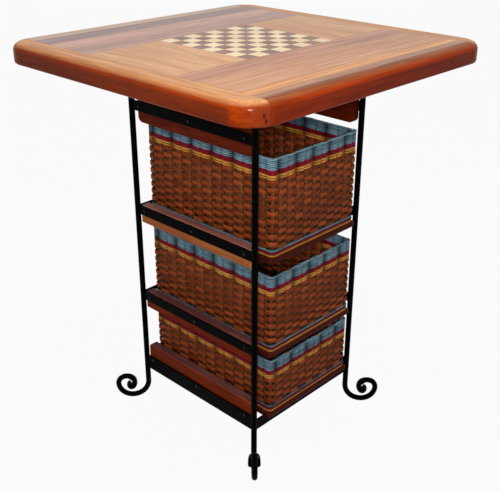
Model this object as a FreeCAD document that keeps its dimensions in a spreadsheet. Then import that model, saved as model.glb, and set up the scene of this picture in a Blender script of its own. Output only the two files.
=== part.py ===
"""Games table: inlaid square top on an iron stand with three pull-out reed baskets.

Frame: millimetres, +Z up, origin on the floor under the middle of the top.
The front, where the baskets pull out, faces -Y.
"""
import FreeCAD, Part
import math
import os
import re

import Sketcher

Vector = FreeCAD.Vector
UP = Vector(0, 0, 1)

doc = FreeCAD.newDocument("games_table")

# Driving dimensions
SIZES = {
    # Table top
    "table_height": 1087,
    "top_side": 864,
    "top_thickness": 51,
    "top_corner_radius": 70,
    "top_edge_radius": 20,
    "under_edge_radius": 6,
    "end_band_width": 57,
    "front_edge_width": 30,
    "front_grey_width": 26,
    "amber_width": 35,
    "rose_width": 73,
    "back_grey_width": 66,
    "back_edge_width": 60,
    "square_side": 38.1,
    "square_thickness": 12,
    # Iron stand
    "leg_spacing_y": 445,
    "rod_diameter": 15.9,
    "bend_radius": 52,
    "scroll_low_radius": 40,
    "scroll_outer_radius": 26,
    "scroll_top_radius": 25,
    "scroll_inner_radius": 11,
    "scroll_tip_radius": 9,
    "tip_width": 33,
    "tip_thickness": 12,
    "floor_flat": 0.6,
    "bar_thickness": 5,
    "bar_height": 26,
    "lower_bar_lap": 13.6,
    "cross_bar_height": 31,
    "stop_height": 12,
    "stop_drop": 3,
    # Aprons and their battens
    "apron_thickness": 19,
    "apron_height": 157.5,
    "apron_front_gap": 1,
    "apron_back_gap": 14,
    "apron_reveal": 29.5,
    "apron_corner_radius": 15,
    "batten_width": 25,
    "batten_thickness": 10,
    # Shelves
    "upper_share": 0.5676,
    "middle_share": 0.3178,
    "lower_share": 0.1444,
    "board_thickness": 16,
    "board_overhang": 24.1,
    "board_corner_radius": 10,
    "board_edge_radius": 5,
    "rail_thickness": 30,
    "rail_height": 50,
    "rail_front_gap": 5,
    "rail_back_gap": 1,
    "upper_rail_rise": 23,
    "middle_rail_rise": 25.5,
    "lower_rail_rise": 32,
    "rail_reveal": 24,
    "rail_edge_radius": 6,
    "rail_end_radius": 22,
    # Wood screws
    "screw_end_margin": 19.7,
    "screw_shank": 4,
    "screw_length": 22,
    "screw_head": 9,
    "screw_head_height": 2.8,
    "screw_clearance": 0.2,
    "top_screw_margin": 32.4,
    # Reed baskets
    "basket_width": 324,
    "basket_side_gap": 5.5,
    "basket_back_gap": 4,
    "basket_overhang": 22.1,
    "basket_corner_radius": 14,
    "basket_wall": 9,
    "band_skin": 3,
    "base_thickness": 6,
    "rim_band": 28,
    "red_band": 12,
    "gold_band": 12.5,
    "foot_cord": 6.8,
    "upper_head_room": 7.2,
    "middle_head_room": 38.2,
    "lower_head_room": 13.2,
    "seat_gap": 0.3,
}

sheet = doc.addObject("Spreadsheet::Sheet", "Sizes")
for row, (alias, value) in enumerate(SIZES.items(), start=1):
    sheet.set(f"A{row}", alias)
    sheet.set(f"B{row}", str(value))
    sheet.setAlias(f"B{row}", alias)
doc.recompute()

# Places and lengths that follow from the driving dimensions
DERIVED = {
    "under_z": "(table_height - top_thickness)",
    "half_top": "(top_side / 2)",
    "half_chess": "(square_side * 4)",
    "inner_x": "(half_top - end_band_width)",
    "front_plank_y": "(half_top - front_edge_width - front_grey_width - amber_width)",
    "back_plank_y": "(half_top - back_edge_width - back_grey_width)",
    "rose_y": "(half_chess + rose_width)",
    "rail_inner_x": "(basket_width / 2 + basket_side_gap)",
    "wood_outer_x": "(rail_inner_x + rail_thickness)",
    "leg_x": "(wood_outer_x + bar_thickness / 2)",
    "bar_outer_x": "(wood_outer_x + bar_thickness)",
    "leg_y": "(leg_spacing_y / 2)",
    "side_bar_length": "(leg_spacing_y - rod_diameter)",
    "cross_bar_length": "(2 * leg_x - rod_diameter)",
    "apron_front_y": "(side_bar_length / 2 - apron_front_gap)",
    "apron_back_y": "(side_bar_length / 2 - apron_back_gap)",
    "apron_z": "(under_z - apron_height)",
    "rail_front_y": "(side_bar_length / 2 - rail_front_gap)",
    "rail_back_y": "(side_bar_length / 2 - rail_back_gap)",
    "screw_pitch": "(rail_front_y - screw_end_margin)",
    "top_screw_pitch": "(half_chess - top_screw_margin)",
    "upper_level": "(table_height * upper_share)",
    "middle_level": "(table_height * middle_share)",
    "lower_level": "(table_height * lower_share)",
    "upper_rail_z": "(upper_level + upper_rail_rise - rail_height)",
    "middle_rail_z": "(middle_level + middle_rail_rise - rail_height)",
    "lower_rail_z": "(lower_level + lower_rail_rise - rail_height)",
    "cross_bar_z": "(lower_level - board_thickness - cross_bar_height)",
    "lower_bar_height": "(lower_rail_z + lower_bar_lap - cross_bar_z)",
    "board_front": "(leg_y + board_overhang)",
    "board_back": "(leg_y + bar_thickness / 2)",
    "basket_front": "(leg_y + basket_overhang)",
    "basket_depth": "(basket_front + leg_y - bar_thickness / 2 - basket_back_gap)",
    "upper_basket_height": "(apron_z - upper_level - seat_gap - upper_head_room)",
    "middle_basket_height": "(upper_level - board_thickness - middle_level - seat_gap - middle_head_room)",
    "lower_basket_height": "(middle_level - board_thickness - lower_level - seat_gap - lower_head_room)",
}
DERIVED_NAMES = re.compile(rf"\b({'|'.join(DERIVED)})\b")
SIZE_NAMES = re.compile(rf"\b({'|'.join(SIZES)})\b")


def expression(text):
    """Write a size formula with every name worked back to the sheet's aliases."""
    while DERIVED_NAMES.search(text):
        text = DERIVED_NAMES.sub(lambda found: DERIVED[found[1]], text)
    return SIZE_NAMES.sub(r"Sizes.\1", text)


def number(text):
    """Work out a size formula in millimetres."""
    return float(sheet.evalExpression(expression(text)))


def bind(item, prop, text):
    """Tie a property of an object to a size formula."""
    item.setExpression(prop, expression(text))


def place(item, x, y, z, turn=0):
    """Put an object at a place given by three size formulas, turned about Z."""
    spot = Vector(number(x), number(y), number(z))
    item.Placement = FreeCAD.Placement(spot, FreeCAD.Rotation(UP, turn))
    bind(item, "Placement.Base.x", x)
    bind(item, "Placement.Base.y", y)
    bind(item, "Placement.Base.z", z)


def box(label, size, corner):
    """Make a plain box from its size and its lowest corner."""
    item = doc.addObject("Part::Box", label)
    for prop, text in zip(("Length", "Width", "Height"), size):
        bind(item, prop, text)
    place(item, *corner)
    return item


def new_body(label):
    """Start a body named after its piece."""
    body = doc.addObject("PartDesign::Body", label)
    body.Label = label
    return body


def new_sketch(body, name, role):
    """Start a sketch on one of a body's own origin planes."""
    sketch = body.newObject("Sketcher::SketchObject", f"{body.Name}_{name}")
    plane = [item for item in body.Origin.OriginFeatures if item.Role == role][0]
    sketch.AttachmentSupport = [(plane, "")]
    sketch.MapMode = "FlatFace"
    return sketch


def dimension(sketch, constraint, text):
    """Add a sketch constraint whose value is a size formula."""
    index = sketch.addConstraint(constraint)
    bind(sketch, f"Constraints[{index}]", text)


def rectangle(sketch, width, height):
    """Draw a rectangle with its first corner on the sketch's origin."""
    w, d = number(width), number(height)
    corners = [Vector(0, 0, 0), Vector(w, 0, 0), Vector(w, d, 0), Vector(0, d, 0)]
    first = sketch.GeometryCount
    for start, end in zip(corners, corners[1:] + corners[:1]):
        sketch.addGeometry(Part.LineSegment(start, end))
    for side in range(4):
        turn = "Horizontal" if side % 2 == 0 else "Vertical"
        sketch.addConstraint(Sketcher.Constraint("Coincident", first + side, 2, first + (side + 1) % 4, 1))
        sketch.addConstraint(Sketcher.Constraint(turn, first + side))
    sketch.addConstraint(Sketcher.Constraint("Coincident", first, 1, -1, 1))
    dimension(sketch, Sketcher.Constraint("DistanceX", first, 1, first, 2, w), width)
    dimension(sketch, Sketcher.Constraint("DistanceY", first + 1, 1, first + 1, 2, d), height)


def circle(sketch, x, y, diameter):
    """Draw a circle at a positive place in a sketch."""
    centre = Vector(number(x), number(y), 0)
    index = sketch.addGeometry(Part.Circle(centre, Vector(0, 0, 1), number(diameter) / 2))
    dimension(sketch, Sketcher.Constraint("DistanceX", -1, 1, index, 3, centre.x), x)
    dimension(sketch, Sketcher.Constraint("DistanceY", -1, 1, index, 3, centre.y), y)
    dimension(sketch, Sketcher.Constraint("Diameter", index, number(diameter)), diameter)


def pad(body, sketch, length):
    """Pad a sketch by a size formula."""
    feature = body.newObject("PartDesign::Pad", f"{sketch.Name}_pad")
    feature.Profile = sketch
    bind(feature, "Length", length)
    doc.recompute()
    return feature


def fillet(body, base, edges, radius):
    """Round the named edges of a body's last feature."""
    feature = body.newObject("PartDesign::Fillet", f"{base.Name}_round")
    feature.Base = (base, edges)
    bind(feature, "Radius", radius)
    doc.recompute()
    return feature


def edges_where(feature, test):
    """List the names of a feature's edges that pass a test."""
    return [f"Edge{i}" for i, edge in enumerate(feature.Shape.Edges, start=1) if test(edge)]


def is_upright(edge):
    """Say whether an edge runs straight up."""
    return edge.BoundBox.XLength < 1e-6 and edge.BoundBox.YLength < 1e-6


def is_level(edge, z):
    """Say whether an edge lies in the level plane at a height."""
    return abs(edge.BoundBox.ZMin - z) < 1e-6 and abs(edge.BoundBox.ZMax - z) < 1e-6


def compound(label, items):
    """Group objects as one."""
    group = doc.addObject("Part::Compound", label)
    group.Links = items
    return group


def cut(label, base, tool):
    """Cut one object out of another."""
    result = doc.addObject("Part::Cut", label)
    result.Base = base
    result.Tool = tool
    return result


def copy_of(master, label, x, y, z, turn=0):
    """Set another of a finished piece at a place, turned about Z."""
    item = compound(label, [master])
    place(item, x, y, z, turn)
    return item


parts = []


def keep(item, label):
    """Name a finished piece and list it for writing."""
    item.Label = label
    parts.append(item)
    return item


# Table top: every outer board is the shared rounded blank, cut to the board's own strip

blank = new_body("top_blank")
blank_sketch = new_sketch(blank, "plan", "XY_Plane")
rectangle(blank_sketch, "top_side", "top_side")
blank_pad = pad(blank, blank_sketch, "top_thickness")
blank_corners = fillet(blank, blank_pad, edges_where(blank_pad, is_upright), "top_corner_radius")
upper_edges = edges_where(blank_corners, lambda e: is_level(e, number("top_thickness")))
blank_upper = fillet(blank, blank_corners, upper_edges, "top_edge_radius")
lower_edges = edges_where(blank_upper, lambda e: is_level(e, 0))
fillet(blank, blank_upper, lower_edges, "under_edge_radius")
place(blank, "-half_top", "-half_top", "under_z")
doc.recompute()


def top_board(label, x_from, x_to, y_from, y_to, outer=False):
    """Make one board of the top from the edges of its strip.

    A board that reaches near the outside of the top takes the blank's rounded edges.
    """
    size = (f"({x_to}) - ({x_from})", f"({y_to}) - ({y_from})", "top_thickness")
    corner = (x_from, y_from, "under_z")
    if not outer:
        return keep(box(label, size, corner), label)
    piece = doc.addObject("Part::Common", label)
    piece.Base = blank
    piece.Tool = box(f"{label}_strip", size, corner)
    return keep(piece, label)


top_board("left_end_band", "-half_top", "-inner_x", "-half_top", "half_top", outer=True)
top_board("right_end_band", "inner_x", "half_top", "-half_top", "half_top", outer=True)
top_board("front_edge_band", "-inner_x", "inner_x", "-half_top", "-half_top + front_edge_width", outer=True)
top_board("back_edge_band", "-inner_x", "inner_x", "half_top - back_edge_width", "half_top", outer=True)
top_board("front_grey_strip", "-inner_x", "inner_x", "-half_top + front_edge_width",
          "-front_plank_y - amber_width", outer=True)
top_board("amber_strip", "-inner_x", "inner_x", "-front_plank_y - amber_width", "-front_plank_y")
top_board("front_plank", "-inner_x", "inner_x", "-front_plank_y", "-rose_y")
top_board("front_rose_strip", "-inner_x", "inner_x", "-rose_y", "-half_chess")
top_board("back_rose_strip", "-inner_x", "inner_x", "half_chess", "rose_y")
top_board("back_plank", "-inner_x", "inner_x", "rose_y", "back_plank_y")
top_board("back_grey_strip", "-inner_x", "inner_x", "back_plank_y", "half_top - back_edge_width", outer=True)

def chess_squares(label, parity):
    """Group the squares of one colour."""
    squares = []
    size = ("square_side", "square_side", "square_thickness")
    for column in range(-4, 4):
        for rank in range(-4, 4):
            if (column + rank) % 2 == parity:
                x, y = f"square_side * {column}", f"square_side * {rank}"
                squares.append(box(f"{label}_one", size, (x, y, "table_height - square_thickness")))
    keep(compound(label, squares), label)


chess_squares("dark_squares", 0)
chess_squares("light_squares", 1)

# Iron legs: a round rod bent out at the floor into a scroll with a flattened tip

# Radius of each quarter turn, from the upright rod to the tip; the first starts level with its centre
SCROLL = (
    "bend_radius",
    "scroll_low_radius",
    "scroll_outer_radius",
    "scroll_top_radius",
    "scroll_inner_radius",
    "scroll_tip_radius",
)
START, END, CENTRE = range(1, 4)


def start_angle(quarter):
    """Give the angle at which a quarter turn of the scroll starts."""
    return math.pi * (1 + quarter / 2)


def scroll_points():
    """Give the formulas of the middle line's quarter points and arc centres."""
    x, z = "0", "rod_diameter / 2 - floor_flat + bend_radius"
    points, centres = [(x, z)], []
    for quarter, radius in enumerate(SCROLL):
        angle = start_angle(quarter)
        across, up = round(math.cos(angle)), round(math.sin(angle))
        centre = (f"{x} - {across} * {radius}", f"{z} - {up} * {radius}")
        x, z = f"{centre[0]} - {up} * {radius}", f"{centre[1]} + {across} * {radius}"
        centres.append(centre)
        points.append((x, z))
    return points, centres


SCROLL_POINTS, SCROLL_CENTRES = scroll_points()


def scroll_path(name, quarters):
    """Draw a stretch of the scroll's middle line in the leg's own upright plane."""
    path = doc.addObject("Sketcher::SketchObject", name)
    path.Placement = FreeCAD.Placement(Vector(0, 0, 0), FreeCAD.Rotation(Vector(1, 0, 0), 90))
    for quarter in quarters:
        radius, angle = SCROLL[quarter], start_angle(quarter)
        middle = Vector(number(SCROLL_CENTRES[quarter][0]), number(SCROLL_CENTRES[quarter][1]), 0)
        ring = Part.Circle(middle, Vector(0, 0, 1), number(radius))
        arc = path.addGeometry(Part.ArcOfCircle(ring, angle, angle + math.pi / 2))
        level, plumb = (START, END) if quarter % 2 == 0 else (END, START)
        path.addConstraint(Sketcher.Constraint("Horizontal", arc, CENTRE, arc, level))
        path.addConstraint(Sketcher.Constraint("Vertical", arc, CENTRE, arc, plumb))
        dimension(path, Sketcher.Constraint("Radius", arc, number(radius)), radius)
        if arc:
            path.addConstraint(Sketcher.Constraint("Coincident", arc - 1, END, arc, START))
    x, z = SCROLL_POINTS[quarters[0]]
    if number(x) > 0:
        dimension(path, Sketcher.Constraint("DistanceX", -1, 1, 0, START, number(x)), x)
    else:
        path.addConstraint(Sketcher.Constraint("PointOnObject", 0, START, -2))
    dimension(path, Sketcher.Constraint("DistanceY", -1, 1, 0, START, number(z)), z)
    return path


def sweep(name, sections, path):
    """Sweep a solid through its sections along a path."""
    solid = doc.addObject("Part::Sweep", name)
    solid.Sections = sections
    solid.Spine = (path, [f"Edge{i}" for i in range(1, path.GeometryCount + 1)])
    solid.Solid = True
    return solid


def section_at(kind, name, point, turn):
    """Put a section outline, turned as given, at a point of the scroll."""
    outline = doc.addObject(kind, name)
    outline.Placement = FreeCAD.Placement(Vector(number(point[0]), 0, number(point[1])), turn)
    bind(outline, "Placement.Base.x", point[0])
    bind(outline, "Placement.Base.z", point[1])
    return outline


def make_leg():
    """Make one leg with its axis on Z and its scroll towards +X."""
    shaft = doc.addObject("Part::Cylinder", "leg_shaft")
    bind(shaft, "Radius", "rod_diameter / 2")
    bind(shaft, "Height", f"under_z - ({SCROLL_POINTS[0][1]})")
    place(shaft, "0", "0", SCROLL_POINTS[0][1])
    quarter_turn = FreeCAD.Rotation(UP, 90)
    rod_section = section_at("Part::Circle", "rod_section", SCROLL_POINTS[0], quarter_turn)
    bind(rod_section, "Radius", "rod_diameter / 2")
    crosswise = FreeCAD.Rotation(Vector(1, 1, 1), 120)
    neck_section = section_at("Part::Circle", "neck_section", SCROLL_POINTS[3], crosswise)
    bind(neck_section, "Radius", "rod_diameter / 2")
    flipped = FreeCAD.Rotation(Vector(0, 1, 0), 180).multiply(quarter_turn)
    flat_sections = [
        section_at("Part::Ellipse", "flat_section", SCROLL_POINTS[4], quarter_turn),
        section_at("Part::Ellipse", "tip_section", SCROLL_POINTS[6], flipped),
    ]
    for flat_section in flat_sections:
        bind(flat_section, "MajorRadius", "tip_width / 2")
        bind(flat_section, "MinorRadius", "tip_thickness / 2")
    rod_path = scroll_path("rod_path", range(3))
    tip_path = scroll_path("tip_path", range(3, 6))
    doc.recompute()
    whole = doc.addObject("Part::MultiFuse", "leg_whole")
    whole.Shapes = [shaft, sweep("rod_scroll", [rod_section], rod_path),
                    sweep("tip_scroll", [neck_section, *flat_sections], tip_path)]
    floor = box("floor_space", ("bend_radius + scroll_low_radius", "tip_width", "rod_diameter"),
                ("0", "-tip_width / 2", "-rod_diameter"))
    return cut("leg", whole, floor)


leg_master = make_leg()
LEGS = (
    ("front_left_leg", "-leg_x", "-leg_y"),
    ("front_right_leg", "leg_x", "-leg_y"),
    ("back_left_leg", "-leg_x", "leg_y"),
    ("back_right_leg", "leg_x", "leg_y"),
)
for label, leg_at_x, leg_at_y in LEGS:
    outward = math.atan2(math.copysign(1, number(leg_at_y)), math.copysign(1, number(leg_at_x)))
    keep(copy_of(leg_master, label, leg_at_x, leg_at_y, "0", math.degrees(outward)), label)

# Flat iron bars, and the places of the screws that hold wood to them

SCREW_STEPS = (-1, 0, 1)
screw_places = []
# Name, sign of X, sign of the length's start along Y, and whether the piece is turned to face right
SIDES = (("left", "-", "-", False), ("right", "", "", True))


def screw_holes(sketch, middle, holes_at):
    """Draw the screw holes along a piece, either way from the stand's middle."""
    for step in SCREW_STEPS:
        circle(sketch, f"{middle} + {step} * screw_pitch", holes_at, "screw_shank + screw_clearance")


def flat_bar(label, height, holes_at):
    """Make a flat bar standing on its edge along Y, drilled for screws at a height."""
    body = new_body(label)
    sketch = new_sketch(body, "face", "YZ_Plane")
    rectangle(sketch, "side_bar_length", height)
    screw_holes(sketch, "side_bar_length / 2", holes_at)
    pad(body, sketch, "bar_thickness")
    return body


def side_bars(name, z, height, holes_at):
    """Make the left and right bars of one level, with their screw places."""
    for side, sign, start, turned in SIDES:
        label = f"{side}_{name}_bar"
        turn = 180 if turned else 0
        bar = keep(flat_bar(label, height, holes_at), label)
        place(bar, f"{sign}bar_outer_x", f"{start}side_bar_length / 2", z, turn)
        for step in SCREW_STEPS:
            screw_places.append((f"{sign}bar_outer_x", f"{step} * screw_pitch", f"{z} + {holes_at}", turn))


def cross_bar(label, y, z, height):
    """Make a bar along X between two legs."""
    size = ("cross_bar_length", "bar_thickness", height)
    keep(box(label, size, ("-cross_bar_length / 2", f"{y} - bar_thickness / 2", z)), label)


SHELVES = ("upper", "middle", "lower")
BAR_MIDDLE = "bar_height / 2"
side_bars("top", "apron_z + apron_reveal", "bar_height", BAR_MIDDLE)
for shelf in SHELVES[:2]:
    side_bars(f"{shelf}_shelf", f"{shelf}_rail_z + rail_reveal", "bar_height", BAR_MIDDLE)
    stop_z = f"{shelf}_rail_z + rail_height - stop_drop - stop_height"
    cross_bar(f"{shelf}_back_stop", "leg_y", stop_z, "stop_height")
side_bars("lower_shelf", "cross_bar_z", "lower_bar_height", "lower_bar_height - lower_bar_lap / 2")
cross_bar("front_cross_bar", "-leg_y", "cross_bar_z", "cross_bar_height")
cross_bar("back_cross_bar", "leg_y", "cross_bar_z", "cross_bar_height")

# Wooden aprons and shelf rails inside the bars


def drilled_board(label, thickness, length, height, front_at, middle, holes_at, shape):
    """Make a board on edge along Y, shaped, then drilled for screws from its outer face."""
    body = new_body(label)
    plan = new_sketch(body, "plan", "XY_Plane")
    rectangle(plan, thickness, length)
    solid = shape(body, pad(body, plan, height), number(front_at))
    before = solid.Shape.Volume
    holes = new_sketch(body, "holes", "YZ_Plane")
    screw_holes(holes, middle, holes_at)
    drilled = body.newObject("PartDesign::Pocket", f"{label}_drilled")
    drilled.Profile = holes
    drilled.Reversed = True
    bind(drilled, "Length", "screw_length - bar_thickness + screw_clearance")
    doc.recompute()
    if drilled.Shape.Volume >= before:
        raise RuntimeError(f"{label}: the screw holes cut nothing")
    return body


def round_apron(body, solid, front):
    """Round an apron's lower corners, at the front end and the back alike."""
    corners = edges_where(solid, lambda e: is_level(e, 0) and e.BoundBox.YLength < 1e-6)
    return fillet(body, solid, corners, "apron_corner_radius")


def round_rail(body, solid, front):
    """Round a rail's ends and its upper edges, most of all the inner edge of its front end."""
    inside = number("rail_thickness") - 1e-6

    def is_nose(edge):
        """Say whether an upright edge is the inner one of the front end."""
        return edge.BoundBox.XMin > inside and abs(edge.BoundBox.YMin - front) < 1e-6

    plain = edges_where(solid, lambda e: is_upright(e) and not is_nose(e))
    ends = fillet(body, solid, plain, "rail_edge_radius")
    nosed = fillet(body, ends, edges_where(ends, lambda e: is_upright(e) and is_nose(e)), "rail_end_radius")
    top = number("rail_height")
    return fillet(body, nosed, edges_where(nosed, lambda e: is_level(e, top)), "rail_edge_radius")


def side_boards(name, thickness, ends, height, z, holes_at, shape):
    """Make the left and right boards of one level, between their front and back ends."""
    front_y, back_y = ends
    for side, sign, start, turned in SIDES:
        label = f"{side}_{name}"
        length = f"{front_y} + {back_y}"
        middle, front_at = (back_y, length) if turned else (front_y, "0")
        board = drilled_board(label, thickness, length, height, front_at, middle, holes_at, shape)
        place(keep(board, label), f"{sign}wood_outer_x", f"{start}{middle}", z, 180 if turned else 0)


side_boards("apron", "apron_thickness", ("apron_front_y", "apron_back_y"), "apron_height", "apron_z",
            f"apron_reveal + {BAR_MIDDLE}", round_apron)
for shelf in SHELVES:
    rail_hole = "lower_bar_lap / 2" if shelf == "lower" else f"rail_reveal + {BAR_MIDDLE}"
    side_boards(f"{shelf}_rail", "rail_thickness", ("rail_front_y", "rail_back_y"), "rail_height",
                f"{shelf}_rail_z", rail_hole, round_rail)

# Battens that hold the aprons to the top, drilled together with the boards they are screwed into


def batten(side, x_from, screw_x):
    """Make one batten and list its screws.

    Returns the batten and the drilling for its screws.
    """
    size = ("batten_width", "apron_front_y + apron_back_y", "batten_thickness")
    blank_batten = box(f"{side}_batten_blank", size, (x_from, "-apron_front_y", "under_z - batten_thickness"))
    drills = []
    for step in SCREW_STEPS:
        drill = doc.addObject("Part::Cylinder", f"{side}_drill")
        bind(drill, "Radius", "(screw_shank + screw_clearance) / 2")
        bind(drill, "Height", "screw_length + screw_clearance")
        spot = (screw_x, f"{step} * top_screw_pitch", "under_z - batten_thickness")
        place(drill, *spot)
        drills.append(drill)
        screw_places.append((*spot, None))
    drilling = compound(f"{side}_drilling", drills)
    return cut(f"{side}_batten", blank_batten, drilling), drilling


BATTEN_SCREW_X = "(wood_outer_x - apron_thickness - batten_width / 2)"
BATTEN_INNER_X = "wood_outer_x - apron_thickness - batten_width"
left_batten, left_drilling = batten("left", "apron_thickness - wood_outer_x", f"-{BATTEN_SCREW_X}")
right_batten, right_drilling = batten("right", BATTEN_INNER_X, BATTEN_SCREW_X)
keep(compound("top_battens", [left_batten, right_batten]), "top_battens")
all_drilling = compound("all_drilling", [left_drilling, right_drilling])


def drilled_part_of_top(label, x_from, x_to, thickness):
    """Make one of the boards in the top's middle row, drilled for the battens' screws."""
    size = (f"{x_to} - ({x_from})", "half_chess * 2", thickness)
    plain = box(f"{label}_blank", size, (x_from, "-half_chess", "under_z"))
    keep(cut(label, plain, all_drilling), label)


drilled_part_of_top("left_panel", "-inner_x", "-half_chess", "top_thickness")
drilled_part_of_top("chess_backing", "-half_chess", "half_chess", "top_thickness - square_thickness")
drilled_part_of_top("right_panel", "half_chess", "inner_x", "top_thickness")

# Shelf boards, rounded at the front

for shelf in SHELVES:
    label = f"{shelf}_shelf_board"
    body = new_body(label)
    plan = new_sketch(body, "plan", "XY_Plane")
    rectangle(plan, "2 * rail_inner_x", "board_front + board_back")
    slab = pad(body, plan, "board_thickness")
    front = edges_where(slab, lambda e: is_upright(e) and e.BoundBox.YMax < 1e-6)
    slab = fillet(body, slab, front, "board_corner_radius")
    nose = edges_where(slab, lambda e: e.BoundBox.YMax < 1e-6 and not is_upright(e))
    fillet(body, slab, nose, "board_edge_radius")
    place(body, "-rail_inner_x", "-board_front", f"{shelf}_level - board_thickness")
    keep(body, label)

# Round-headed wood screws


def centre_circle(sketch, diameter):
    """Draw a circle round the sketch's origin."""
    index = sketch.addGeometry(Part.Circle(Vector(0, 0, 0), Vector(0, 0, 1), number(diameter) / 2))
    sketch.addConstraint(Sketcher.Constraint("Coincident", index, CENTRE, -1, 1))
    dimension(sketch, Sketcher.Constraint("Diameter", index, number(diameter)), diameter)


def make_screw():
    """Make one screw along +X with its head outside the plane x = 0."""
    body = new_body("screw")
    head_plan = new_sketch(body, "head", "YZ_Plane")
    centre_circle(head_plan, "screw_head")
    head = pad(body, head_plan, "screw_head_height")
    head.Reversed = True
    doc.recompute()
    crown = edges_where(head, lambda e: e.BoundBox.XMax < -1e-6)
    fillet(body, head, crown, "screw_head_height * 0.85")
    shank_plan = new_sketch(body, "shank", "YZ_Plane")
    centre_circle(shank_plan, "screw_shank")
    shank = pad(body, shank_plan, "screw_length")
    tip = body.newObject("PartDesign::Chamfer", "screw_tip")
    tip.Base = (shank, edges_where(shank, lambda e: e.BoundBox.XMin > 1e-6))
    bind(tip, "Size", "screw_shank * 0.45")
    return body


screw_master = make_screw()
screws = []
for screw_x, screw_y, screw_z, turn in screw_places:
    screw = copy_of(screw_master, "screw_one", screw_x, screw_y, screw_z, turn or 0)
    if turn is None:
        screw.Placement.Rotation = FreeCAD.Rotation(Vector(0, 1, 0), -90)
    screws.append(screw)
keep(compound("wood_screws", screws), "wood_screws")

# Reed baskets: woven walls of three colour bands round a brown field, on a flat base


def rounded_block(label, inset, z, height):
    """Make a block in the baskets' outline, drawn in by an inset."""
    body = new_body(label)
    plan = new_sketch(body, "plan", "XY_Plane")
    rectangle(plan, f"basket_width - 2 * ({inset})", f"basket_depth - 2 * ({inset})")
    block = pad(body, plan, height)
    fillet(body, block, edges_where(block, is_upright), f"basket_corner_radius - ({inset})")
    place(body, f"-basket_width / 2 + {inset}", f"-basket_front + {inset}", z)
    return body


def ring(label, inset_outside, inset_inside, z, height):
    """Make a ring of wall between two insets."""
    outside = rounded_block(f"{label}_outside", inset_outside, z, height)
    return cut(label, outside, rounded_block(f"{label}_inside", inset_inside, z, height))


def basket(shelf):
    """Make the base, the wall and the three coloured bands of one shelf's basket."""
    name = f"{shelf}_basket"
    height = f"{shelf}_basket_height"
    seat = f"{shelf}_level + seat_gap"
    top = f"{seat} + {height}"
    keep(rounded_block(f"{name}_base", "basket_wall", seat, "base_thickness"), f"{name}_base")
    field = f"{height} - rim_band - red_band - gold_band - 3 * foot_cord"
    wall = doc.addObject("Part::Fuse", f"{name}_wall")
    wall.Base = ring(f"{name}_core", "band_skin", "basket_wall", seat, height)
    wall.Tool = ring(f"{name}_field", "0", "band_skin", f"{seat} + 3 * foot_cord", field)
    keep(wall, f"{name}_wall")
    bands = (
        ("blue", f"{top} - rim_band", "rim_band", f"{seat} + 2 * foot_cord"),
        ("red", f"{top} - rim_band - red_band", "red_band", f"{seat} + foot_cord"),
        ("gold", f"{top} - rim_band - red_band - gold_band", "gold_band", seat),
    )
    for colour, band_z, band_height, foot_z in bands:
        label = f"{name}_{colour}_reed"
        band = ring(f"{label}_band", "0", "band_skin", band_z, band_height)
        foot = ring(f"{label}_foot", "0", "band_skin", foot_z, "foot_cord")
        keep(compound(label, [band, foot]), label)


for shelf in SHELVES:
    basket(shelf)

# Check every object, then write the pieces

doc.recompute()
for item in doc.Objects:
    if "Invalid" in item.State or "Error" in item.State:
        raise RuntimeError(f"{item.Label}: {item.State}")
os.makedirs("parts", exist_ok=True)
for item in parts:
    if item.Shape.isNull() or not item.Shape.isValid():
        raise RuntimeError(f"{item.Label}: bad shape")
    item.Shape.exportStep(f"parts/{item.Label}.step")
    print(f"{item.Label}: {len(item.Shape.Solids)} solids, {item.Shape.Volume / 1000:.1f} cm3")
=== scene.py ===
"""Dressed scene of a tall games table with an inlaid chessboard and woven reed baskets."""
import logging
import math
import random
from collections.abc import Callable
from dataclasses import dataclass, field
from enum import Enum

import bmesh
import bpy
from mathutils import Matrix, Vector


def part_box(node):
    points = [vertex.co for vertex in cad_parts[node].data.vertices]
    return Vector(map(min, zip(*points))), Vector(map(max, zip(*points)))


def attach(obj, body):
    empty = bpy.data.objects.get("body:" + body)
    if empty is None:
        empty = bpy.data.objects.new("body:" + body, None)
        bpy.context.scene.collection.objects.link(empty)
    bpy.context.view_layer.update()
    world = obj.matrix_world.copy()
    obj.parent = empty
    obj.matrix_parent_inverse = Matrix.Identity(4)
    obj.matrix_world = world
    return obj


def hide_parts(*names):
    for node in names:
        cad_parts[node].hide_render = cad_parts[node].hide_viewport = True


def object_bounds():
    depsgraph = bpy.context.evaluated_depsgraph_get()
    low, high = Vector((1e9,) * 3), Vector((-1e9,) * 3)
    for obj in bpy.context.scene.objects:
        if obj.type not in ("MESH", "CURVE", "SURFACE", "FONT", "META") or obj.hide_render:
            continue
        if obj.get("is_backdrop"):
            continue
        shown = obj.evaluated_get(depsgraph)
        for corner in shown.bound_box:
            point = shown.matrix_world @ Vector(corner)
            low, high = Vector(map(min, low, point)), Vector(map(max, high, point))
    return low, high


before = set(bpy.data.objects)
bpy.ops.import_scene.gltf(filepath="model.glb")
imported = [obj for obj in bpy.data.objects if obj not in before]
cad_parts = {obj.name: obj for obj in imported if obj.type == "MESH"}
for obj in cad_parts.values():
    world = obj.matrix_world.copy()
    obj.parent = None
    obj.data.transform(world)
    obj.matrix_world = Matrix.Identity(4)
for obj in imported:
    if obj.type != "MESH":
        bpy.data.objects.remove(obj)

CAD_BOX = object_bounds()
LOG = logging.getLogger("games_table")
MM = 0.001
SHELVES = ("upper", "middle", "lower")
WHITE = (1.0, 1.0, 1.0, 1.0)
# Shift of the wood pattern from one board to the next
PATTERN_STEP = (1.37, 2.11, 0.73)


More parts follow.
